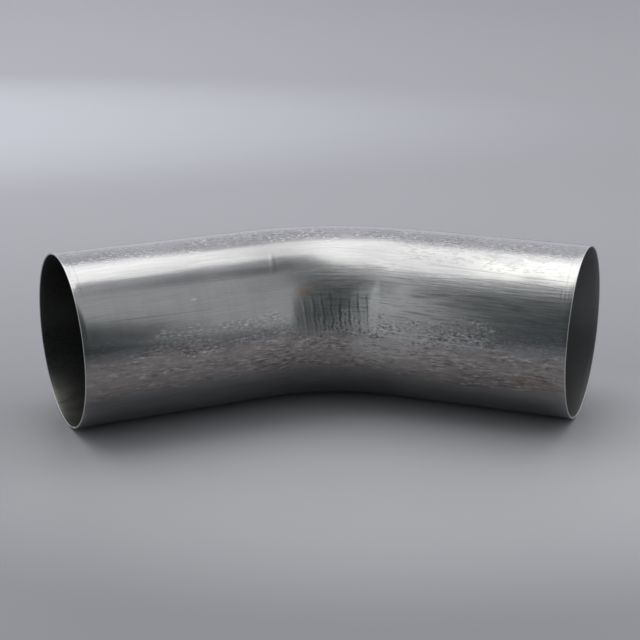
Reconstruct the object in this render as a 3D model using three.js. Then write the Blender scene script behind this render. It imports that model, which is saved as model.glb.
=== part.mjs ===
// Plain flue elbow: a thin-wall steel tube bent 45 degrees, with a straight leg and a
// square-cut plain end on each side. The tube is rolled from one strip whose two edges
// meet in a lengthwise seam, and a weld bead closes that seam from end to end.
//
// Millimetres, +Z up. The elbow lies flat on its side, so the bend is in the XY plane:
// +X runs along its length, +Y points to the outside of the bend.
// The origin is on the resting surface, under the middle of the bounding box.

import * as THREE from 'three';

// Driving dimensions.
const OUTER_DIAMETER = 127;
const WALL = 1.2;
const BEND_RADIUS = 152.4; // centre of the bend to the tube's centreline
const BEND_ANGLE = THREE.MathUtils.degToRad(45);
const LEFT_LEG = 148.3; // straight length past the bend
const RIGHT_LEG = 134;

// Seam: the angle is measured round the tube, from the outside of the bend downwards.
const SEAM_ANGLE = THREE.MathUtils.degToRad(108);
const BEAD_WIDTH = 2.6;
const BEAD_CROWN = 0.35; // how far the bead stands proud of the outer skin
const BEAD_ROOT = 0.4; // and of the inner skin
const SEAM_GAP = 0.3; // clearance between the bead and each strip edge

// Fineness of the faceted surfaces.
const SIDES_ROUND = 48;
const STEPS_PER_LEG = 2;
const STEPS_IN_BEND = 12;
const BEAD_STEPS_ACROSS = 4;

const OUTER_RADIUS = OUTER_DIAMETER / 2;
const INNER_RADIUS = OUTER_RADIUS - WALL;

/**
 * The tube's centreline: a straight leg, an arc round the origin, and a second straight leg.
 * Equal steps of its parameter fall on the joins between the legs and the arc, so the
 * swept solids have a ring of corners exactly at each end of the bend.
 */
class ElbowCentreline extends THREE.Curve {
  static steps = STEPS_PER_LEG + STEPS_IN_BEND + STEPS_PER_LEG;

  // Splits the parameter into the bend angle reached and the straight length beyond it.
  locate(t) {
    const step = t * ElbowCentreline.steps;
    const legPart = Math.max(0, STEPS_PER_LEG - step) / STEPS_PER_LEG;
    const farPart = Math.max(0, step - STEPS_PER_LEG - STEPS_IN_BEND) / STEPS_PER_LEG;
    const turned = THREE.MathUtils.clamp((step - STEPS_PER_LEG) / STEPS_IN_BEND, 0, 1);
    return {
      angle: (turned - 0.5) * BEND_ANGLE,
      straight: farPart * RIGHT_LEG - legPart * LEFT_LEG,
    };
  }

  getPoint(t, target = new THREE.Vector3()) {
    const { angle, straight } = this.locate(t);
    return target.set(
      BEND_RADIUS * Math.sin(angle) + straight * Math.cos(angle),
      BEND_RADIUS * Math.cos(angle) - straight * Math.sin(angle),
      0,
    );
  }

  getTangent(t, target = new THREE.Vector3()) {
    const { angle } = this.locate(t);
    return target.set(Math.cos(angle), -Math.sin(angle), 0);
  }

  // The sweep steps by this curve's own parameter, not by equal lengths.
  getUtoTmapping(u) {
    return u;
  }
}

// A point of the cross-section. The sweep lays its x axis downwards and its y axis
// towards the outside of the bend.
function sectionPoint(radius, angle) {
  return new THREE.Vector2(radius * Math.sin(angle), radius * Math.cos(angle));
}

// The strip rolled into an open ring, with radial edges facing each other across the seam.
function stripSection() {
  const edgeAngle = Math.asin((BEAD_WIDTH / 2 + SEAM_GAP) / INNER_RADIUS);
  const firstEdge = SEAM_ANGLE + edgeAngle;
  const lastEdge = SEAM_ANGLE - edgeAngle + 2 * Math.PI;
  const spacing = (2 * Math.PI) / SIDES_ROUND;
  const angles = [firstEdge];
  for (let i = Math.ceil(firstEdge / spacing); i * spacing < lastEdge; i += 1) {
    angles.push(i * spacing);
  }
  angles.push(lastEdge);
  const outside = angles.map((angle) => sectionPoint(OUTER_RADIUS, angle));
  const inside = angles.map((angle) => sectionPoint(INNER_RADIUS, angle));
  return new THREE.Shape([...outside, ...inside.reverse()]);
}

// The weld bead: as thick as the wall, with a low crown outside and a root inside.
function beadSection() {
  const across = sectionPoint(1, SEAM_ANGLE + Math.PI / 2);
  const outward = sectionPoint(1, SEAM_ANGLE);
  const place = (radius, offset) => new THREE.Vector2()
    .addScaledVector(outward, radius)
    .addScaledVector(across, offset);
  const crown = [];
  const root = [];
  for (let i = 0; i <= BEAD_STEPS_ACROSS; i += 1) {
    const side = (2 * i) / BEAD_STEPS_ACROSS - 1;
    const bulge = 1 - side * side;
    crown.push(place(OUTER_RADIUS + BEAD_CROWN * bulge, (side * BEAD_WIDTH) / 2));
    root.push(place(INNER_RADIUS - BEAD_ROOT * bulge, (side * BEAD_WIDTH) / 2));
  }
  return new THREE.Shape([...crown, ...root.reverse()]);
}

function sweep(section) {
  return new THREE.ExtrudeGeometry(section, {
    steps: ElbowCentreline.steps,
    bevelEnabled: false,
    extrudePath: new ElbowCentreline(),
  });
}

function tubeShell() {
  const zincCoatedSteel = new THREE.MeshStandardMaterial({
    color: 0x8c8f94,
    metalness: 1,
    roughness: 0.35,
  });
  const mesh = new THREE.Mesh(sweep(stripSection()), zincCoatedSteel);
  mesh.name = 'tube_shell';
  return mesh;
}

function seamWeld() {
  const weldMetal = new THREE.MeshStandardMaterial({
    color: 0x77787c,
    metalness: 1,
    roughness: 0.45,
  });
  const mesh = new THREE.Mesh(sweep(beadSection()), weldMetal);
  mesh.name = 'seam_weld';
  return mesh;
}

// Moves the elbow from its bend centre to its resting place over the origin.
function placeOnSurface(elbow) {
  const box = new THREE.Box3().setFromObject(elbow);
  const middle = box.getCenter(new THREE.Vector3());
  elbow.position.set(-middle.x, -middle.y, -box.min.z);
}

const elbow = new THREE.Group();
elbow.name = 'flue_elbow';
elbow.add(tubeShell(), seamWeld());
placeOnSurface(elbow);

export default elbow;
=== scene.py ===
"""The look of a plain flue elbow: a thin-wall steel tube bent 45 degrees, lying on its side.

The tube and its seam weld are rebuilt as fine meshes on the CAD model's own centreline, with
the marks that rolling, welding, cutting and bending leave. Their materials work in unbent
coordinates: each point of the surface knows where it was on the straight tube.
"""
import math

import bpy
import numpy as np
from mathutils import Euler, Matrix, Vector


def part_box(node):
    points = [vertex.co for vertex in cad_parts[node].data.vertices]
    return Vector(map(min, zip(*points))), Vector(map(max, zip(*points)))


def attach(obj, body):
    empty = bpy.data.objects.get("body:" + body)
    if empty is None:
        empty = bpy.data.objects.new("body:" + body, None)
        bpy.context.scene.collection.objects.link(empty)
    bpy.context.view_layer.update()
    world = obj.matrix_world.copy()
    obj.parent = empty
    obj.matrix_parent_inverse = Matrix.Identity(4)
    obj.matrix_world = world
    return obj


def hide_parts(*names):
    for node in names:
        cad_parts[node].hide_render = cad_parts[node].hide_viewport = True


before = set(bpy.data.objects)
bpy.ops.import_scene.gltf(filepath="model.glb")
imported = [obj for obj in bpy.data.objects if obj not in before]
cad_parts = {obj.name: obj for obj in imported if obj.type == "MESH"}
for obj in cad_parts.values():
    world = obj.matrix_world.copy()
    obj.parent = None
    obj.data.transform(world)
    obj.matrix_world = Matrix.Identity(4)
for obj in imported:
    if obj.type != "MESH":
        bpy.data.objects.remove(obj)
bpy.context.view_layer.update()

MM = 0.001


# ---------------------------------------------------------------- the elbow's dimensions

shell_low, shell_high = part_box("tube_shell")
OUTER_RADIUS = (shell_high[2] - shell_low[2]) / 2
WALL = 1.2 * MM
INNER_RADIUS = OUTER_RADIUS - WALL
BEND_RADIUS = 152.4 * MM
BEND_ANGLE = math.radians(45)
HALF_BEND = BEND_ANGLE / 2
LEFT_LEG = 148.3 * MM
RIGHT_LEG = 134.0 * MM
BEND_LENGTH = BEND_RADIUS * BEND_ANGLE
BEND_START = LEFT_LEG
BEND_END = LEFT_LEG + BEND_LENGTH
LENGTH = BEND_END + RIGHT_LEG

# The centre of the bend, from the box: the outside of the bend is its far face, and the
# right end's far rim its right face.
BEND_CENTRE = np.array([
    shell_high[0] - RIGHT_LEG * math.cos(HALF_BEND)
    - (BEND_RADIUS + OUTER_RADIUS) * math.sin(HALF_BEND),
    shell_high[1] - BEND_RADIUS - OUTER_RADIUS,
    shell_low[2] + OUTER_RADIUS,
])

# Angles round the tube are in degrees from the outside of the bend, downwards: 90 is the
# resting line, 180 the inside of the bend and 270 the top.
SEAM = 108.0
SLOT_WIDTH = 3.2 * MM
CROWN_HALF = 2.2 * MM  # half the width of the weld's crown, outside
ROOT_HALF = 1.9 * MM  # and of its root, inside

EDGE_ROUNDING = 0.3 * MM

# Marks of the bending tools. Windows are (from, to, softness), along the tube in metres or
# round it in degrees.

# Chatter marks on the inside of the bend, where the tube dragged over the bending tool.
CHATTER_FIRST = 162 * MM
CHATTER_PITCH = 10.8 * MM
CHATTER_TOP = 205
CHATTER_LEAN = 0.156 * MM  # how far a mark leans to the right for each degree down
CHATTER_DEPTH = 0.13 * MM
CHATTER_SHARPNESS = 0.14  # a groove's half width as a share of the pitch
CHATTER_LENGTHWISE = (172 * MM, 252 * MM, 14 * MM)
CHATTER_ROUND = (182, 205, 5)

# A faint crease where the bend starts.
CREASE = 148.3 * MM
CREASE_MIDDLE = 234
CREASE_LEAN = 0.3 * MM  # how far it leans to the left for each degree down
CREASE_DEPTH = 0.05 * MM
CREASE_WIDTH = 1.7 * MM
CREASE_ROUND = (221, 241, 6)

# The low ridges that the tool leaves at either end of the chatter marks: how far along,
# width, and window round the tube.
RIDGES = [
    (151 * MM, 4 * MM, (183, 214, 9)),
    (258 * MM, 6 * MM, (183, 215, 8)),
]
RIDGE_HEIGHT = 0.1 * MM

FLATTENING = 0.35 * MM  # of the bend, on its inside and outside
BEND_EASING = 16 * MM  # how gently the flattening starts and ends
UNEVENNESS = 0.05 * MM
UNEVEN_LENGTH = 180 * MM


def centreline(along):
    """Points, and unit vectors to the outside of the bend, at distances from the left end."""
    turned = np.clip((along - BEND_START) / BEND_LENGTH, 0, 1) * BEND_ANGLE - HALF_BEND
    straight = np.minimum(along - BEND_START, 0) + np.maximum(along - BEND_END, 0)
    outward = np.stack([np.sin(turned), np.cos(turned), np.zeros_like(turned)], -1)
    forward = np.stack([np.cos(turned), -np.sin(turned), np.zeros_like(turned)], -1)
    points = BEND_CENTRE + BEND_RADIUS * outward + straight[..., None] * forward
    return points, outward


def on_tube(along, around, radius):
    """Places points given by their distance along, angle around (degrees) and radius."""
    points, outward = centreline(along)
    angle = np.radians(around)[..., None]
    down = np.array([0.0, 0.0, -1.0])
    return points + radius[..., None] * (np.cos(angle) * outward + np.sin(angle) * down)


def unbent(along, around, radius):
    """The same points on the tube before it was bent."""
    angle = np.radians(around)
    return np.stack([along, radius * np.cos(angle), radius * np.sin(angle)], -1)


# ---------------------------------------------------------------- what bending does to the skin

def hill(value, middle, width):
    """A smooth hill of height 1."""
    return np.exp(-((value - middle) / width) ** 2)


def between(value, low, high, soft):
    """1 between low and high, easing to 0 over soft on each side."""
    rise = 1 / (1 + np.exp(-4 * (value - low) / soft))
    fall = 1 / (1 + np.exp(-4 * (high - value) / soft))
    return rise * fall


def slow_waves(along, around, seed, count, length, height):
    """Smooth random unevenness: a sum of waves that close on themselves round the tube.

    The waves are from half to two and a half times length long, along the tube.
    """
    draw = np.random.default_rng(seed)
    total = np.zeros_like(along)
    for _ in range(count):
        turns = draw.integers(1, 9)
        rate = draw.uniform(0.4, 2.0) * 2 * math.pi / length * draw.choice([-1, 1])
        phase = draw.uniform(0, 2 * math.pi)
        total += np.sin(along * rate + np.radians(around) * turns + phase) / (1 + turns / 3)
    return total * height / math.sqrt(count)


def skin_offset(along, around):
    """How far the skin stands off a true tube, from rolling and bending, in metres."""
    in_bend = between(along, BEND_START, BEND_END, BEND_EASING)
    flattened = -FLATTENING * in_bend * np.cos(np.radians(around)) ** 2
    phase = (along - CHATTER_FIRST - (CHATTER_TOP - around) * CHATTER_LEAN) / CHATTER_PITCH
    groove = hill(phase - np.round(phase), 0, CHATTER_SHARPNESS)
    chatter_zone = between(along, *CHATTER_LENGTHWISE) * between(around, *CHATTER_ROUND)
    chatter = -CHATTER_DEPTH * groove * chatter_zone
    ridges = 0
    for middle, width, round_tube in RIDGES:
        ridges = ridges + RIDGE_HEIGHT * hill(along, middle, width) * between(around, *round_tube)
    crease_along = CREASE + (around - CREASE_MIDDLE) * CREASE_LEAN
    crease = -CREASE_DEPTH * hill(along - crease_along, 0, CREASE_WIDTH)
    crease = crease * between(around, *CREASE_ROUND)
    uneven = slow_waves(along, around, seed=7, count=14, length=UNEVEN_LENGTH,
                        height=UNEVENNESS)
    return flattened + chatter + ridges + crease + uneven


# ---------------------------------------------------------------- meshes

def stations():
    """Distances along the tube: close together in the bend, wider on the legs."""
    leg_step = 4.0 * MM
    bend_step = 1.0 * MM
    left = np.linspace(EDGE_ROUNDING, BEND_START, round(LEFT_LEG / leg_step), endpoint=False)
    bend = np.linspace(BEND_START, BEND_END, round(BEND_LENGTH / bend_step), endpoint=False)
    right = np.linspace(BEND_END, LENGTH - EDGE_ROUNDING, round(RIGHT_LEG / leg_step))
    return np.concatenate([left, bend, right])


def rim_profile(outer_first):
    """The rounded cut edge, as (distance in from the cut, radius) pairs."""
    steps = 4
    rounding = []
    for i in range(1, steps):
        angle = i / steps * math.pi / 2
        inset = EDGE_ROUNDING * (1 - math.sin(angle))
        drop = EDGE_ROUNDING * (1 - math.cos(angle))
        rounding.append((inset, drop))
    outer = [(inset, OUTER_RADIUS - drop) for inset, drop in rounding]
    flat = [(0.0, OUTER_RADIUS - EDGE_ROUNDING), (0.0, INNER_RADIUS + EDGE_ROUNDING)]
    inner = [(inset, INNER_RADIUS + drop) for inset, drop in reversed(rounding)]
    profile = outer + flat + inner
    return profile if outer_first else profile[::-1]


def make_object(name, points, faces, attributes, material):
    """A smooth-shaded mesh object whose points carry the named attributes."""
    mesh = bpy.data.meshes.new(name)
    mesh.from_pydata(points.tolist(), [], faces)
    for key, values in attributes.items():
        kind = "FLOAT_VECTOR" if values.ndim == 2 else "FLOAT"
        layer = mesh.attributes.new(key, kind, "POINT")
        layer.data.foreach_set("vector" if values.ndim == 2 else "value", values.ravel())
    mesh.polygons.foreach_set("use_smooth", [True] * len(mesh.polygons))
    mesh.materials.append(material)
    mesh.update()
    piece = bpy.data.objects.new(name, mesh)
    bpy.context.scene.collection.objects.link(piece)
    return piece


def section_rows():
    """The rows that make the wall: outside, right rim, inside, left rim and back again.

    Each row is its distance along, its radius, and 0 for the outside to 1 for the inside.
    The number of rows on the outside, which the inside has too, comes with them.
    """
    skin = stations()
    rows = [(distance, OUTER_RADIUS, 0) for distance in skin]
    rows += [(LENGTH - inset, radius, 0.5) for inset, radius in rim_profile(outer_first=True)]
    rows += [(distance, INNER_RADIUS, 1) for distance in skin[::-1]]
    rows += [(inset, radius, 0.5) for inset, radius in rim_profile(outer_first=False)]
    return rows, len(skin)


def tube_shell(material):
    """The strip rolled into a tube, open along the seam slot, which the weld fills."""
    columns = 240  # points round the tube
    slot_half = math.degrees(math.asin(SLOT_WIDTH / 2 / OUTER_RADIUS))
    around = np.linspace(SEAM + slot_half, SEAM + 360 - slot_half, columns)
    row_list, skin_rows = section_rows()
    rows = len(row_list)
    along, radius, inside = (np.repeat(np.array(values, dtype=float)[:, None], columns, 1)
                             for values in zip(*row_list))
    around = np.tile(around, (rows, 1))
    radius = radius + skin_offset(along, around)
    points = on_tube(along, around, radius).reshape(-1, 3)

    faces = []
    for row in range(rows):
        here = row * columns
        below = (row + 1) % rows * columns
        for column in range(columns - 1):
            faces.append((here + column, below + column, below + column + 1, here + column + 1))
    faces += edge_faces(skin_rows, rows, columns)
    attributes = {
        "unbent": unbent(along, around, radius).reshape(-1, 3),
        "along": along.ravel() / MM,
        "around": around.ravel(),
        "inside": inside.ravel(),
    }
    return make_object("elbow_tube", points, faces, attributes, material)


def edge_faces(skin_rows, rows, columns):
    """Closes the strip's two edges, on either side of the seam.

    Along the skin each face joins two outside rows to the inside rows behind them, and each
    rim is closed by one face of its own.
    """
    rim_rows = (rows - 2 * skin_rows) // 2
    inner_first = skin_rows + rim_rows
    inner_last = inner_first + skin_rows - 1
    loops = []
    for i in range(skin_rows - 1):
        partner = inner_last - i
        loops.append([i, i + 1, partner - 1, partner])
    loops.append(list(range(skin_rows - 1, inner_first + 1)))
    loops.append(list(range(inner_last, rows)) + [0])
    faces = []
    for column, flip in ((0, False), (columns - 1, True)):
        for loop in loops:
            corners = [row * columns + column for row in loop]
            faces.append(corners[::-1] if flip else corners)
    return faces


def bead_section():
    """The bead's outline: how far across, the wall's radius there, how proud, and which side.

    The side is 1 for the crown outside and -1 for the root inside. Each is a shallow hill,
    whose edges sink a little into the wall.
    """
    crown_height = 0.35 * MM
    root_height = 0.4 * MM
    sink = 0.06 * MM
    steps = 4
    section = []
    for i in range(2 * steps + 1):
        share = i / steps - 1
        proud = crown_height * (1 - share * share) - sink
        section.append((share * CROWN_HALF, OUTER_RADIUS, proud, 1))
    for i in range(2 * steps + 1):
        share = 1 - i / steps
        proud = -root_height * (1 - share * share) + sink
        section.append((share * ROOT_HALF, INNER_RADIUS, proud, -1))
    return section


def seam_weld(material):
    """The weld bead: it fills the slot and laps over its edges, outside and inside."""
    step = 0.8 * MM
    ripple_pitch = 2.4 * MM
    ripple_curve = 1.3 * MM  # how far a ripple's edges are swept along from its middle
    ripple_share = 0.16
    section = bead_section()
    count = len(section)
    along = np.linspace(0, LENGTH, round(LENGTH / step))
    wander_step = 0.02 * MM
    draw = np.random.default_rng(3)
    wander = np.cumsum(draw.normal(0, wander_step, len(along)))
    wander -= np.linspace(0, wander[-1], len(along))
    rings = []
    plain = []
    for offset, base, proud, way in section:
        share = offset / CROWN_HALF
        lag = share * share * ripple_curve * way
        ripple = np.sin(2 * math.pi * (along - lag) / ripple_pitch)
        height = proud * (1 + ripple_share * ripple)
        angle = SEAM + np.degrees((offset + wander * 0.5) / base)
        radius = base + height + skin_offset(along, angle)
        rings.append(on_tube(along, angle, radius))
        plain.append(unbent(along, angle, radius))
    points = np.stack(rings, 1).reshape(-1, 3)
    faces = []
    for row in range(len(along) - 1):
        here = row * count
        for i in range(count):
            following = (i + 1) % count
            faces.append((here + i, here + following, here + count + following, here + count + i))
    last = (len(along) - 1) * count
    faces.append(tuple(range(count))[::-1])
    faces.append(tuple(range(last, last + count)))
    attributes = {"unbent": np.stack(plain, 1).reshape(-1, 3)}
    return make_object("seam_weld_bead", points, faces, attributes, material)


# ---------------------------------------------------------------- material helpers

class Nodes:
    """A short way to write shader node graphs."""

    def __init__(self, name):
        self.material = bpy.data.materials.new(name)
        self.material.use_nodes = True
        self.tree = self.material.node_tree
        self.shader = self.tree.nodes["Principled BSDF"]

    def set(self, socket, value):
        if isinstance(value, bpy.types.NodeSocket):
            self.tree.links.new(value, socket)
        elif value is not None:
            socket.default_value = value

    def attribute(self, name, output="Fac"):
        node = self.tree.nodes.new("ShaderNodeAttribute")
        node.attribute_name = name
        return node.outputs[output]

    def math(self, operation, a, b=None):
        node = self.tree.nodes.new("ShaderNodeMath")
        node.operation = operation
        self.set(node.inputs[0], a)
        self.set(node.inputs[1], b)
        return node.outputs[0]

    def minus(self, a, b):
        return self.math("SUBTRACT", a, b)

    def times(self, first, *others):
        """The product of all the values."""
        for other in others:
            first = self.math("MULTIPLY", first, other)
        return first

    def largest(self, first, *others):
        for other in others:
            first = self.math("MAXIMUM", first, other)
        return first

    def scaled(self, vector, factors):
        """A vector times a factor on each axis."""
        node = self.tree.nodes.new("ShaderNodeVectorMath")
        node.operation = "MULTIPLY"
        self.set(node.inputs[0], vector)
        node.inputs[1].default_value = factors
        return node.outputs[0]

    def noise(self, vector, scale, detail, roughness, distortion=0.0):
        node = self.tree.nodes.new("ShaderNodeTexNoise")
        self.set(node.inputs["Vector"], vector)
        node.inputs["Scale"].default_value = scale
        node.inputs["Detail"].default_value = detail
        node.inputs["Roughness"].default_value = roughness
        node.inputs["Distortion"].default_value = distortion
        return node.outputs["Fac"]

    def ramp(self, value, low, high, to_low=0.0, to_high=1.0, smooth=True):
        """to_low at low, easing to to_high at high."""
        node = self.tree.nodes.new("ShaderNodeMapRange")
        node.interpolation_type = "SMOOTHSTEP" if smooth else "LINEAR"
        self.set(node.inputs["Value"], value)
        for key, setting in zip(("From Min", "From Max", "To Min", "To Max"),
                                (low, high, to_low, to_high)):
            node.inputs[key].default_value = setting
        return node.outputs["Result"]

    def window(self, value, low, high, soft):
        """1 between low and high, easing to 0 over soft on each side."""
        rise = self.ramp(value, low - soft, low + soft)
        fall = self.ramp(value, high - soft, high + soft, 1.0, 0.0)
        return self.times(rise, fall)

    def mix(self, factor, a, b):
        node = self.tree.nodes.new("ShaderNodeMix")
        node.data_type = "RGBA"
        self.set(node.inputs["Factor"], factor)
        self.set(node.inputs["A"], a)
        self.set(node.inputs["B"], b)
        return node.outputs["Result"]

    def shade(self, tone, mask, strength, colour):
        """Brings a tone towards a colour where the mask is 1, as far as the strength says."""
        return self.mix(self.times(mask, strength), tone, colour)

    def bump(self, height, strength, distance, normal=None):
        node = self.tree.nodes.new("ShaderNodeBump")
        self.set(node.inputs["Height"], height)
        node.inputs["Strength"].default_value = strength
        node.inputs["Distance"].default_value = distance
        self.set(node.inputs["Normal"], normal)
        return node.outputs["Normal"]


def line_mask(n, along, around, start, end, width):
    """A thin line on the skin from start to end, each an (along mm, around degrees) pair."""
    length = end[0] - start[0]
    line_around = n.ramp(along, start[0], end[0], start[1], end[1], smooth=False)
    off = n.math("ABSOLUTE", n.minus(around, line_around))
    mm_per_degree = math.radians(1) * OUTER_RADIUS / MM
    across = n.ramp(off, 0.0, width / mm_per_degree, 1.0, 0.0)
    taper = max(0.5, 0.06 * length)
    return n.times(across, n.window(along, start[0], end[0], taper))


def lines_mask(n, along, around, listed):
    """All the thin lines of a list together."""
    return n.largest(*(line_mask(n, along, around, *line) for line in listed))


def oval(n, x, y, centre, reach):
    """The squared distance from the centre, as a share of the reach on each axis."""
    across = n.math("DIVIDE", n.minus(x, centre[0]), reach[0])
    up = n.math("DIVIDE", n.minus(y, centre[1]), reach[1])
    return n.math("ADD", n.times(across, across), n.times(up, up))


def spot_mask(n, along, around, place, size):
    """A soft oval spot at an (along mm, around degrees) pair, with half sizes in the same."""
    return n.ramp(oval(n, along, around, place, size), 0.2, 1.4, 1.0, 0.0)


# ---------------------------------------------------------------- the steel's surface

def grey(level):
    """A neutral colour."""
    return (level, level, level, 1)


# Scratches on the skin: (along mm, around degrees) at each end, and the width in mm.
SCRATCHES = [
    ((295, 233.5), (398, 230), 0.7),
    ((334, 236), (342, 243), 0.9),
    ((210, 243), (268, 240), 0.5),
    ((300, 219), (352, 217.5), 0.5),
    ((40, 226), (128, 224.5), 0.5),
    ((18, 207), (96, 206), 0.4),
    ((30, 312), (120, 320), 0.6),
    ((200, 338), (262, 334), 0.6),
    ((290, 352), (372, 350), 0.7),
    ((90, 372), (150, 385), 0.6),
    ((320, 120), (360, 112), 0.6),
]

# Bright glints, in the same form.
GLINTS = [
    ((246, 185.5), (304, 184.8), 0.7),
    ((268, 182), (356, 181), 0.7),
    ((318, 186.5), (346, 186), 0.6),
]

# Soft oval spots: their middle, as (along mm, around degrees), and half their size in each.
# Painted shadow: a dark soft spot between the crease and the chatter marks.
PAINTED_SHADOW_SPOT = ((186, 221), (28, 13))
POLISHED_SPOT = ((254, 196), (30, 20))
LIP_SPOT = ((257.5, 199), (7, 18))
RUST_SPOT = ((177, 210), (13, 3.4))
FAR_RUST_SPOT = ((380, 161), (16, 7))
PALE_DOT = ((83, 214), (2.2, 1.1))
END_MARK_PLACES = ((393.5, 221), (396.5, 220), (399, 221))
END_MARK_SIZE = (0.7, 4.5)
# These two, painted shade just past the crease and a painted highlight just before it, are placed
# by how far along from the crease they are.
CREASE_SHADE_SPOT = ((2.6, 233), (1.7, 8))
CREASE_HIGHLIGHT_SPOT = ((-1.2, 232), (1.3, 8))

# Zones of the skin. Windows are (from, to, softness) and steps are (from, to), along the tube
# in mm or round it in degrees.
ZONE_WINDOWS = {  # lengthwise, and round the tube
    "streaked_bend": ((186, 238, 22), (184, 224, 6)),
    "scuffed": ((158, 296, 18), (180, 226, 6)),
    # Painted shade that dims the highlight near the crease.
    "dimmed_highlight": ((128, 188, 22), (216, 258, 8)),
    "swirled": ((270, 394, 12), (234, 258, 3)),
    "crossed": ((14, 168, 10), (196, 232, 4)),
}
# Mottled bands.
TOP_BAND = (252, 272, 5)
LOW_BAND = (179, 196, 3)
LOW_BAND_RISE = (150, 230)
BACK_BANDS = ((352, 368, 6), (440, 456, 6))
WORN_LENGTHS = ((50, 150, 20), (200, 352, 20))
# The flow-marked band, and where it shifts down.
FLOW_BAND = (156, 185, 4)
FLOW_BAND_SHIFT = (200, 320)
FLOW_START = (0, 60)
# Drawn streaks.
PAST_BEND_START = (158, 200)
DRAWN_BAND = (196, 228, 4)
DRAWN_BELOW = (150, 160)
# Paler places, a painted highlight and painted shade.
PALE_BAND = (160, 209, 8)
PALE_START = (216, 248)
PALE_END = (270, 345)
# Painted highlight: lighter where the lights reflect, on the highlight band towards the right
# end.
PAINTED_HIGHLIGHT_BAND = (230, 244, 4)
PAINTED_HIGHLIGHT_START = (310, 350)
# Painted shade low on the left end: its band round the tube and its length.
SHADED_LEFT_BAND = (150, 190, 7)
SHADED_LEFT_END = (8, 44)
# The painted shade in the chatter grooves and painted highlight on their crests.
MARKED_CHATTER = ((159, 251, 3), (184, 207, 7))
CHATTER_START = (174, 190)
CHATTER_HIGHLIGHT_FADE = (190, 202)
# The scribed line and the bare metal, by how far in from each end.
SCRIBE_INSET = (5.6, 6.6)
SCRIBE_ROUND = (222, 330, 5)
BARE_EDGE_DEPTH = (0.2, 0.7)
# The bore: a light patch near the left end, the right half's painted light and shade, and where
# it begins.
LEFT_PATCH_ROUND = (406, 440, 12)
LEFT_PATCH_END = (2, 26)
RIGHT_BORE_ROUND = (320, 440)
BORE_HALVES = (250, 380)

# Noise textures: stretch on each unbent axis, scale, detail, roughness and distortion.
TEXTURES = {
    "wander": ((0.5, 1, 1), 60, 2, 0.6, 0),
    "cloud": ((0.35, 1, 1), 45, 3, 0.5, 0),
    "patches": ((0.4, 1, 1), 110, 2, 0.5, 0.6),
    "cross": ((1, 0.08, 0.08), 120, 3, 0.6, 0),
    "swirl": ((0.45, 1, 1), 330, 4, 0.7, 0.8),
    "lines": ((0.04, 1, 1), 400, 4, 0.65, 0),
    "flow": ((0.2, 1, 1), 560, 4, 0.75, 0.3),
    "speckle": ((0.4, 1, 1), 800, 4, 0.8, 0),
    "streaks": ((0.045, 1, 1), 900, 4, 0.7, 0),
}

# Broad tones, in the order they are laid on: zone, strength and colour.
STEEL_DARK = (0.318, 0.319, 0.324, 1)
STEEL_LIGHT = (0.362, 0.362, 0.366, 1)
BROAD_TONES = [
    ("pale", 0.9, grey(0.62)),
    # Painted shade dimming part of the highlight.
    ("dimmed_highlight", 0.5, grey(0.2)),
    # Painted highlight on the highlight band towards the right end.
    ("painted_highlight", 0.8, (0.49, 0.49, 0.48, 1)),
    # Painted shadow between the crease and the chatter marks.
    ("painted_shadow", 0.45, (0.13, 0.134, 0.136, 1)),
    ("polished", 0.45, grey(0.66)),
    # Painted shade low on the left end.
    ("shaded_left_end", 0.65, grey(0.17)),
]

# Marks that follow a texture, in the order they are laid on: the texture, the level where the
# mark starts and the level where it is whole, then zone, strength and colour.
DRAWN_STREAKS = [
    ("streaks", 0.5, 0.62, "drawn", 0.5, (0.19, 0.195, 0.2, 1)),
    ("streaks", 0.48, 0.36, "drawn", 0.4, (0.5, 0.5, 0.505, 1)),
    ("lines", 0.5, 0.57, "streaked_bend", 0.28, (0.16, 0.16, 0.165, 1)),
]
MOTTLING = [
    ("flow", 0.5, 0.6, "flow_marked", 0.7, (0.12, 0.115, 0.11, 1)),
    ("flow", 0.47, 0.36, "flow_marked", 0.8, (0.66, 0.63, 0.62, 1)),
    ("speckle", 0.5, 0.6, "grain", 0.8, grey(0.1)),
    ("speckle", 0.47, 0.37, "grain", 0.85, grey(0.85)),
]
RUBBED_MARKS = [
    ("swirl", 0.48, 0.6, "swirled", 0.42, (0.2, 0.2, 0.19, 1)),
    ("cross", 0.45, 0.65, "crossed", 0.1, grey(0.18)),
]

# Single marks: strength and colour.
# Painted shade in the chatter grooves and painted highlight on their crests.
CHATTER_GROOVE_SHADE = (0.62, (0.12, 0.12, 0.125, 1))
CHATTER_CREST_HIGHLIGHT = (0.75, grey(0.8))
# Painted shade just past the crease and a painted highlight just before it.
CREASE_SHADE = (0.45, (0.14, 0.14, 0.145, 1))
CREASE_HIGHLIGHT = (0.16, grey(0.6))
END_MARK = (0.35, grey(0.1))
LIP = (0.85, grey(0.75))
GLINT = (0.6, grey(0.85))
DOT = (0.3, (0.7, 0.7, 0.69, 1))
SCRATCH = (0.4, grey(0.17))
HAIRLINE = (0.22, grey(0.2))
SCRIBED_LINE = (0.2, grey(0.15))

# The slightly red grey of the flow-marked band, and the same where the skin is pale.
WARM_GREY = (0.325, 0.298, 0.288, 1)
PALE_WARM_GREY = (0.46, 0.43, 0.42, 1)
RUST = (0.34, 0.21, 0.14, 1)
FAR_RUST = (0.36, 0.22, 0.14, 1)

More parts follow.
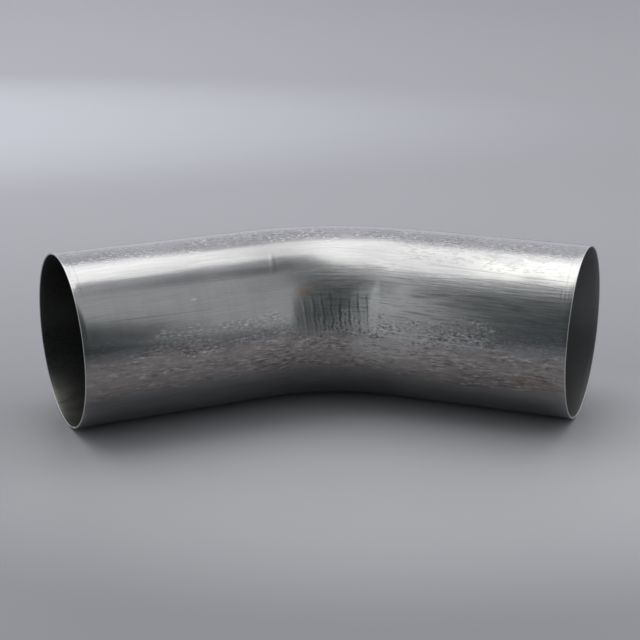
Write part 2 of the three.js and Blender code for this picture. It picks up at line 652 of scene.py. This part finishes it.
# The tones of the bore near each end: painted shade, nearly black at the left end; at the right
# end painted light, fading to painted shade towards the bottom on the outside of the bend.
LEFT_BORE_DARK = (0.055, 0.062, 0.052, 1)
LEFT_BORE_LIGHT = (0.1, 0.108, 0.094, 1)
LEFT_BORE_PATCH = (0.25, 0.252, 0.23, 1)
RIGHT_BORE_LIT = (0.46, 0.462, 0.46, 1)
RIGHT_BORE_SHADED = (0.12, 0.122, 0.12, 1)
BORE_COVER = 0.85
BARE_EDGE = grey(0.55)


class Skin:
    """What the steel's material reads at a point: its place, the textures and the zones."""

    def __init__(self, n):
        place = n.attribute("unbent", "Vector")
        self.along = n.attribute("along")
        self.around = n.attribute("around")
        self.inside = n.attribute("inside")
        self.texture = {}
        for name, (stretch, scale, detail, roughness, distortion) in TEXTURES.items():
            vector = n.scaled(place, stretch)
            self.texture[name] = n.noise(vector, scale, detail, roughness, distortion)
        sway = n.ramp(self.texture["wander"], 0.2, 0.8, -6, 6, smooth=False)
        self.wavy_around = n.math("ADD", self.around, sway)
        self.zone = surface_zones(n, self)


def surface_zones(n, skin):
    """How strongly each kind of surface, and each painted light and shade, shows, from 0 to 1."""
    along = skin.along
    around = skin.wavy_around
    zones = {name: n.times(n.window(along, *lengthwise), n.window(around, *round_tube))
             for name, (lengthwise, round_tube) in ZONE_WINDOWS.items()}

    # Mottled bands, whose grain is patchy.
    top_band = n.times(n.window(around, *TOP_BAND), 0.75)
    worn = n.largest(*(n.window(along, *length) for length in WORN_LENGTHS))
    low_band = n.times(n.window(around, *LOW_BAND), n.ramp(worn, 0, 1, 0.4, 1),
                       n.ramp(along, *LOW_BAND_RISE, 0.6, 1))
    back_band = n.largest(*(n.window(around, *band) for band in BACK_BANDS))
    zones["bands"] = n.largest(top_band, low_band, n.times(back_band, 0.5))
    patchy = n.ramp(skin.texture["patches"], 0.38, 0.6, 0.35, 1)
    zones["grain"] = n.times(zones["bands"], patchy)

    # The flow-marked band, just under the inside of the bend, is 4 degrees lower on the right.
    shifted = n.math("ADD", around, n.ramp(along, *FLOW_BAND_SHIFT, 0, 4))
    zones["flow"] = n.window(shifted, *FLOW_BAND)
    zones["flow_marked"] = n.times(zones["flow"], patchy, n.ramp(along, *FLOW_START, 0.5, 1))

    # Drawn streaks, which are strongest past the start of the bend and low on the tube.
    zones["past_bend_start"] = n.ramp(along, *PAST_BEND_START)
    drawn_band = n.times(n.window(around, *DRAWN_BAND), zones["past_bend_start"])
    zones["drawn"] = n.math("ADD", drawn_band, n.ramp(around, *DRAWN_BELOW, 0.6, 0.3))

    # Paler and polished places, a painted highlight, painted shade low on the left end, and a
    # painted shadow between the crease and the chatter marks.
    pale_length = n.times(n.ramp(along, *PALE_START), n.ramp(along, *PALE_END, 1, 0))
    zones["pale"] = n.times(pale_length, n.window(around, *PALE_BAND))
    zones["painted_highlight"] = n.times(n.ramp(along, *PAINTED_HIGHLIGHT_START), n.window(around, *PAINTED_HIGHLIGHT_BAND))
    zones["shaded_left_end"] = n.times(n.ramp(along, *SHADED_LEFT_END, 1, 0), n.window(around, *SHADED_LEFT_BAND))
    zones["painted_shadow"] = spot_mask(n, along, around, *PAINTED_SHADOW_SPOT)
    zones["polished"] = spot_mask(n, along, around, *POLISHED_SPOT)
    return zones


def texture_marks(n, skin, tone, marks):
    """Lays on marks that follow a texture, each within its own zone."""
    for texture, start, whole, zone, strength, colour in marks:
        mask = n.times(n.ramp(skin.texture[texture], start, whole), skin.zone[zone])
        tone = n.shade(tone, mask, strength, colour)
    return tone


def warm_band(n, skin, tone):
    """The slightly red tint of the flow-marked band."""
    cloudy = n.ramp(skin.texture["cloud"], 0.3, 0.6, 0.5, 0.9)
    tint = n.mix(skin.zone["pale"], WARM_GREY, PALE_WARM_GREY)
    return n.mix(n.times(skin.zone["flow"], cloudy), tone, tint)


def chatter_marks(n, skin, tone):
    """Painted shade in the chatter grooves, and painted highlight on the crests between them."""
    lengthwise, round_tube = MARKED_CHATTER
    unevenness = skin.texture["patches"]
    zone = n.times(n.window(skin.along, *lengthwise), n.ramp(skin.along, *CHATTER_START, 0.4, 1),
                   n.window(skin.around, *round_tube), n.ramp(unevenness, 0.3, 0.6, 0.35, 1))
    lean = n.times(n.minus(CHATTER_TOP, skin.around), CHATTER_LEAN / MM)
    phase = n.minus(n.minus(skin.along, CHATTER_FIRST / MM), lean)
    phase = n.math("DIVIDE", phase, CHATTER_PITCH / MM)
    phase = n.math("ADD", phase, n.ramp(unevenness, 0.3, 0.7, -0.16, 0.16, smooth=False))
    off_mark = n.math("ABSOLUTE", n.minus(phase, n.math("ROUND", phase)))
    groove_shade = n.times(n.ramp(off_mark, 0.03, 0.17, 1, 0), zone)
    crest_highlight = n.times(n.window(off_mark, 0.22, 0.34, 0.06), zone,
                     n.ramp(skin.around, *CHATTER_HIGHLIGHT_FADE, 1, 0.3),
                     n.ramp(skin.texture["speckle"], 0.42, 0.54))
    tone = n.shade(tone, groove_shade, *CHATTER_GROOVE_SHADE)
    return n.shade(tone, crest_highlight, *CHATTER_CREST_HIGHLIGHT)


def bending_marks(n, skin, tone):
    """Painted shade and highlight at the crease where the bend starts, the lip past the chatter
    marks, and three end marks.
    """
    lean = n.times(n.minus(skin.around, CREASE_MIDDLE), CREASE_LEAN / MM)
    past_crease = n.minus(n.minus(skin.along, CREASE / MM), lean)
    crease_shade = spot_mask(n, past_crease, skin.around, *CREASE_SHADE_SPOT)
    crease_highlight = spot_mask(n, past_crease, skin.around, *CREASE_HIGHLIGHT_SPOT)
    tone = n.shade(tone, crease_shade, *CREASE_SHADE)
    tone = n.shade(tone, crease_highlight, *CREASE_HIGHLIGHT)
    for place in END_MARK_PLACES:
        end_mark = spot_mask(n, skin.along, skin.around, place, END_MARK_SIZE)
        tone = n.shade(tone, end_mark, *END_MARK)
    lip = n.times(spot_mask(n, skin.along, skin.around, *LIP_SPOT),
                  n.ramp(skin.texture["lines"], 0.4, 0.62, 0.5, 1))
    return n.shade(tone, lip, *LIP)


def glints_and_rust(n, skin, tone):
    """Bright glints, two small rust stains and a pale dot."""
    speckle = skin.texture["speckle"]
    glints = lines_mask(n, skin.along, skin.around, GLINTS)
    tone = n.shade(tone, n.times(glints, n.ramp(speckle, 0.4, 0.56)), *GLINT)
    rust = n.times(spot_mask(n, skin.along, skin.wavy_around, *RUST_SPOT),
                   n.ramp(skin.texture["flow"], 0.4, 0.6, 0.15, 0.6))
    tone = n.mix(rust, tone, RUST)
    far_rust = n.times(spot_mask(n, skin.along, skin.wavy_around, *FAR_RUST_SPOT),
                       n.ramp(speckle, 0.5, 0.62, 0, 0.7))
    tone = n.mix(far_rust, tone, FAR_RUST)
    dot = spot_mask(n, skin.along, skin.around, *PALE_DOT)
    return n.shade(tone, dot, *DOT)


def fine_lines(n, skin, tone, scratches):
    """Scratches, hairlines along the tube, and the scribed line near each end."""
    off_middle = n.math("ABSOLUTE", n.minus(skin.texture["lines"], 0.5))
    hairlines = n.ramp(off_middle, 0.0, 0.012, 1, 0)
    near, far = SCRIBE_INSET
    scribe = n.largest(n.window(skin.along, near, far, 0.4),
                       n.window(skin.along, LENGTH / MM - far, LENGTH / MM - near, 0.4))
    scribe = n.times(scribe, n.window(skin.around, *SCRIBE_ROUND))
    tone = n.shade(tone, scratches, *SCRATCH)
    tone = n.shade(tone, hairlines, *HAIRLINE)
    return n.shade(tone, scribe, *SCRIBED_LINE)


def bore_and_edges(n, skin, tone):
    """The inside of the tube, painted with shade, and the bare cut edges."""
    along, around = skin.along, skin.around
    # The left end's bore: painted shade, nearly black, with a lighter patch low down near the
    # end.
    left = n.mix(n.ramp(skin.texture["speckle"], 0.4, 0.6), LEFT_BORE_DARK, LEFT_BORE_LIGHT)
    patch = n.times(n.ramp(along, *LEFT_PATCH_END, 1, 0), n.window(around, *LEFT_PATCH_ROUND),
                    n.ramp(skin.texture["patches"], 0.35, 0.6, 0.4, 1))
    left = n.mix(patch, left, LEFT_BORE_PATCH)
    # The right end's bore: painted light, fading to painted shade from 320 degrees round towards
    # the bottom on the outside of the bend.
    right = n.mix(n.ramp(around, *RIGHT_BORE_ROUND), RIGHT_BORE_LIT, RIGHT_BORE_SHADED)
    bore = n.mix(n.ramp(along, *BORE_HALVES), left, right)
    tone = n.shade(tone, skin.inside, BORE_COVER, bore)
    bare, covered = BARE_EDGE_DEPTH
    bare_edge = n.largest(n.ramp(along, bare, covered, 1, 0),
                          n.ramp(along, LENGTH / MM - covered, LENGTH / MM - bare))
    return n.mix(bare_edge, tone, BARE_EDGE)


def steel_roughness(n, skin):
    """Smooth steel, rougher where it is scuffed or mottled and in the bore."""
    rough = n.ramp(skin.texture["cloud"], 0.3, 0.7, 0.13, 0.18)
    added = [(skin.zone["past_bend_start"], 0.05), (skin.zone["scuffed"], 0.13),
             (skin.zone["pale"], 0.12), (skin.zone["bands"], 0.08), (skin.inside, 0.3)]
    for mask, more in added:
        rough = n.math("ADD", rough, n.times(mask, more))
    return rough


def steel_relief(n, skin, scratches):
    """The fine relief of the steel."""
    texture, zone = skin.texture, skin.zone
    layers = [  # the height map, and how deep it goes in mm
        (n.times(texture["streaks"], zone["drawn"]), 0.06),
        (texture["lines"], 0.025),
        (n.times(texture["speckle"], zone["grain"]), 0.1),
        (n.times(texture["flow"], zone["flow_marked"]), 0.18),
        (n.times(texture["swirl"], zone["swirled"]), 0.12),
        (texture["speckle"], 0.02),
        (scratches, -0.03),
    ]
    normal = None
    for height, depth in layers:
        normal = n.bump(height, 1.0, depth * MM, normal)
    return normal


def coated_steel():
    """Coated sheet steel: drawn along its length, with mottled bands, stains and scratches, and
    painted light and shade in places.
    """
    n = Nodes("coated_steel")
    skin = Skin(n)
    tone = n.mix(n.ramp(skin.texture["cloud"], 0.35, 0.7), STEEL_DARK, STEEL_LIGHT)
    for zone, strength, colour in BROAD_TONES:
        tone = n.shade(tone, skin.zone[zone], strength, colour)
    tone = texture_marks(n, skin, tone, DRAWN_STREAKS)
    tone = warm_band(n, skin, tone)
    tone = texture_marks(n, skin, tone, MOTTLING)
    tone = chatter_marks(n, skin, tone)
    tone = texture_marks(n, skin, tone, RUBBED_MARKS)
    tone = bending_marks(n, skin, tone)
    tone = glints_and_rust(n, skin, tone)
    scratches = lines_mask(n, skin.along, skin.around, SCRATCHES)
    tone = fine_lines(n, skin, tone, scratches)
    tone = bore_and_edges(n, skin, tone)
    n.set(n.shader.inputs["Base Color"], tone)
    n.set(n.shader.inputs["Roughness"], steel_roughness(n, skin))
    n.set(n.shader.inputs["Normal"], steel_relief(n, skin, scratches))
    n.shader.inputs["Metallic"].default_value = 1.0
    return n.material


def weld_metal():
    """Bare weld metal: dull, with fine grain and heat tint."""
    n = Nodes("weld_metal")
    place = n.attribute("unbent", "Vector")
    grain = n.noise(place, 900, 3, 0.6)
    tint = n.noise(place, 60, 2, 0.5)
    bare = (0.3, 0.3, 0.31, 1)
    heated = (0.36, 0.34, 0.31, 1)
    n.set(n.shader.inputs["Base Color"], n.mix(n.ramp(tint, 0.35, 0.65), bare, heated))
    n.set(n.shader.inputs["Roughness"], n.ramp(grain, 0.3, 0.7, 0.32, 0.5))
    n.set(n.shader.inputs["Normal"], n.bump(grain, 0.4, 0.05 * MM))
    n.shader.inputs["Metallic"].default_value = 1.0
    return n.material


def light_pool_mask(n, x, y, centre, reach):
    """A soft oval pool of painted light on the floor, from 1 at its middle to 0 at its rim."""
    return n.ramp(oval(n, x, y, centre, reach), 0, 1, 1, 0)


def floor_material():
    """A satin grey floor with painted light: paler towards the back, with two pools of painted
    light on it.

    One pool is far back on the left and one in front of the elbow. Far off to the right the floor
    is darker, with painted shade.
    """
    front_tone = (0.275, 0.277, 0.296, 1)
    back_tone = (0.37, 0.37, 0.4, 1)
    back_light_pool_tone = (0.54, 0.555, 0.61, 1)
    front_light_pool_tone = (0.43, 0.43, 0.45, 1)
    far_shade_tone = (0.22, 0.22, 0.24, 1)
    n = Nodes("studio_floor")
    where = n.tree.nodes.new("ShaderNodeTexCoord").outputs["Object"]
    split = n.tree.nodes.new("ShaderNodeSeparateXYZ")
    n.set(split.inputs[0], where)
    x, y = split.outputs["X"], split.outputs["Y"]
    # Two pools of painted light: far back on the left, and in front of the elbow.
    back_light_pool = light_pool_mask(n, x, y, centre=(-0.9, 1.15), reach=(1.5, 0.55))
    front_light_pool = light_pool_mask(n, x, y, centre=(0.06, -0.12), reach=(0.4, 0.22))
    # Paler towards the back: painted light.
    tone = n.mix(n.ramp(y, -0.1, 0.7), front_tone, back_tone)
    tone = n.shade(tone, back_light_pool, 0.85, back_light_pool_tone)
    tone = n.mix(front_light_pool, tone, front_light_pool_tone)
    # Darker far off to the right: painted shade.
    far = n.times(n.ramp(y, 0, 0.8), n.ramp(x, -0.9, 0.9))
    tone = n.shade(tone, far, 0.6, far_shade_tone)
    n.set(n.shader.inputs["Base Color"], tone)
    n.shader.inputs["Roughness"].default_value = 0.5
    n.shader.inputs["Specular IOR Level"].default_value = 0.3
    return n.material


# ---------------------------------------------------------------- studio

def level_corners(x_range, y_range, height):
    """The corners of a level rectangle, counter-clockwise from above."""
    left, right = x_range
    front, back = y_range
    return np.array([(left, front, height), (right, front, height),
                     (right, back, height), (left, back, height)])


def studio_floor():
    """A floor that runs to the horizon."""
    reach = 40.0
    corners = level_corners((-reach, reach), (-reach, reach), 0)
    make_object("studio_floor", corners, [(0, 1, 2, 3)], {}, floor_material())


def ceiling_panel(name, x_range, y_range, height, radiance):
    """A level soft light panel, seen by the metal but not by the camera."""
    width = x_range[1] - x_range[0]
    depth = y_range[1] - y_range[0]
    light = bpy.data.lights.new(name, "AREA")
    light.shape = "RECTANGLE"
    light.size = width
    light.size_y = depth
    light.energy = radiance * math.pi * width * depth
    light.color = (1.0, 0.99, 0.945)
    lamp = bpy.data.objects.new(name, light)
    lamp.location = (sum(x_range) / 2, sum(y_range) / 2, height)
    lamp.visible_camera = False
    bpy.context.scene.collection.objects.link(lamp)


def studio_light():
    """Soft light panels side by side overhead, which reach further forward on the left.

    A weaker panel hangs just below them, over the middle.
    """
    ceiling = 2.56
    below_ceiling = 2.54
    panels = [  # name, left and right, front and back, height and radiance
        ("overhead_left", (-2.0, 0.1), (-0.42, 2.1), ceiling, 1.5),
        ("overhead_right", (0.1, 0.3), (-0.15, 1.9), ceiling, 1.4),
        ("overhead_middle_right", (0.3, 0.56), (0.32, 2.0), ceiling, 1.4),
        ("overhead_far_right", (0.56, 2.0), (0.56, 2.0), ceiling, 1.4),
        ("overhead_centre", (-0.1, 0.3), (0.1, 1.6), below_ceiling, 0.4),
    ]
    for panel in panels:
        ceiling_panel(*panel)


def room():
    """A pale room all round, a little lighter behind the elbow than behind the camera."""
    front_tone = (0.69, 0.705, 0.715, 1)
    back_tone = (0.855, 0.86, 0.92, 1)
    world = bpy.data.worlds.new("room")
    world.use_nodes = True
    nodes = world.node_tree.nodes
    links = world.node_tree.links
    where = nodes.new("ShaderNodeTexCoord")
    split = nodes.new("ShaderNodeSeparateXYZ")
    links.new(where.outputs["Generated"], split.inputs[0])
    depth = nodes.new("ShaderNodeMapRange")
    depth.inputs["From Min"].default_value = -0.2
    depth.inputs["From Max"].default_value = 0.6
    links.new(split.outputs["Y"], depth.inputs["Value"])
    tint = nodes.new("ShaderNodeMix")
    tint.data_type = "RGBA"
    links.new(depth.outputs["Result"], tint.inputs["Factor"])
    tint.inputs["A"].default_value = front_tone
    tint.inputs["B"].default_value = back_tone
    links.new(tint.outputs["Result"], nodes["Background"].inputs["Color"])
    bpy.context.scene.world = world
    bpy.context.scene.view_settings.view_transform = "Standard"


def reflected_sheet(name, corners, face, colour, glow_colour=None, glow=0.0):
    """A matt studio sheet that the metal reflects and the camera doesn't see."""
    n = Nodes(name)
    n.shader.inputs["Base Color"].default_value = colour
    n.shader.inputs["Roughness"].default_value = 0.9
    if glow_colour:
        n.shader.inputs["Emission Color"].default_value = glow_colour
        n.shader.inputs["Emission Strength"].default_value = glow
    sheet = make_object(name, corners, [face], {}, n.material)
    sheet.visible_camera = False
    return sheet


def dark_screen():
    """A dark screen behind the camera, which the inside of the bend reflects."""
    distance = -1.06
    colour = (0.11, 0.131, 0.13, 1)
    outline = [(-0.69, 0), (0.72, 0), (0.72, 0.6), (0.62, 1.1), (0.5, 1.7), (0.42, 2.2),
               (0.25, 2.35), (-0.4, 2.2), (-1.0, 2.3), (-1.05, 1.75), (-0.85, 1.3),
               (-0.72, 0.6)]
    corners = np.array([(x, distance, z) for x, z in outline])
    screen = reflected_sheet("dark_screen", corners, tuple(range(len(outline))), colour)


def ceiling_beam():
    """A duller strip of ceiling in front of the lights, which the left leg reflects."""
    corners = level_corners((0.66, 1.3), (-0.4, 0.12), 2.5)
    facing_down = (0, 3, 2, 1)
    beam = reflected_sheet("ceiling_beam", corners, facing_down, grey(0.8),
                           glow_colour=(0.95, 1.0, 0.98, 1), glow=0.2)


def camera():
    """The photograph's viewpoint: from in front of the inside of the bend, a little above."""
    outer_diameter = 2 * OUTER_RADIUS
    place = BEND_CENTRE + outer_diameter * np.array([-0.310, -7.055, 2.671])
    heading = math.radians(1.73)
    fall = math.radians(18.37)
    roll = math.radians(-0.13)
    lens = bpy.data.cameras.new("camera")
    lens.lens = 81.0
    lens.sensor_width = 36.0
    eye = bpy.data.objects.new("camera", lens)
    eye.location = place
    level = Euler((math.pi / 2 - fall, 0, -heading)).to_matrix()
    eye.rotation_euler = (level @ Matrix.Rotation(roll, 3, "Z")).to_euler()
    bpy.context.scene.collection.objects.link(eye)
    bpy.context.scene.camera = eye


camera()
studio_floor()
studio_light()
room()
dark_screen()
ceiling_beam()

tube = tube_shell(coated_steel())
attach(tube, "root")
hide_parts("tube_shell")

bead = seam_weld(weld_metal())
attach(bead, "root")
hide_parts("seam_weld")
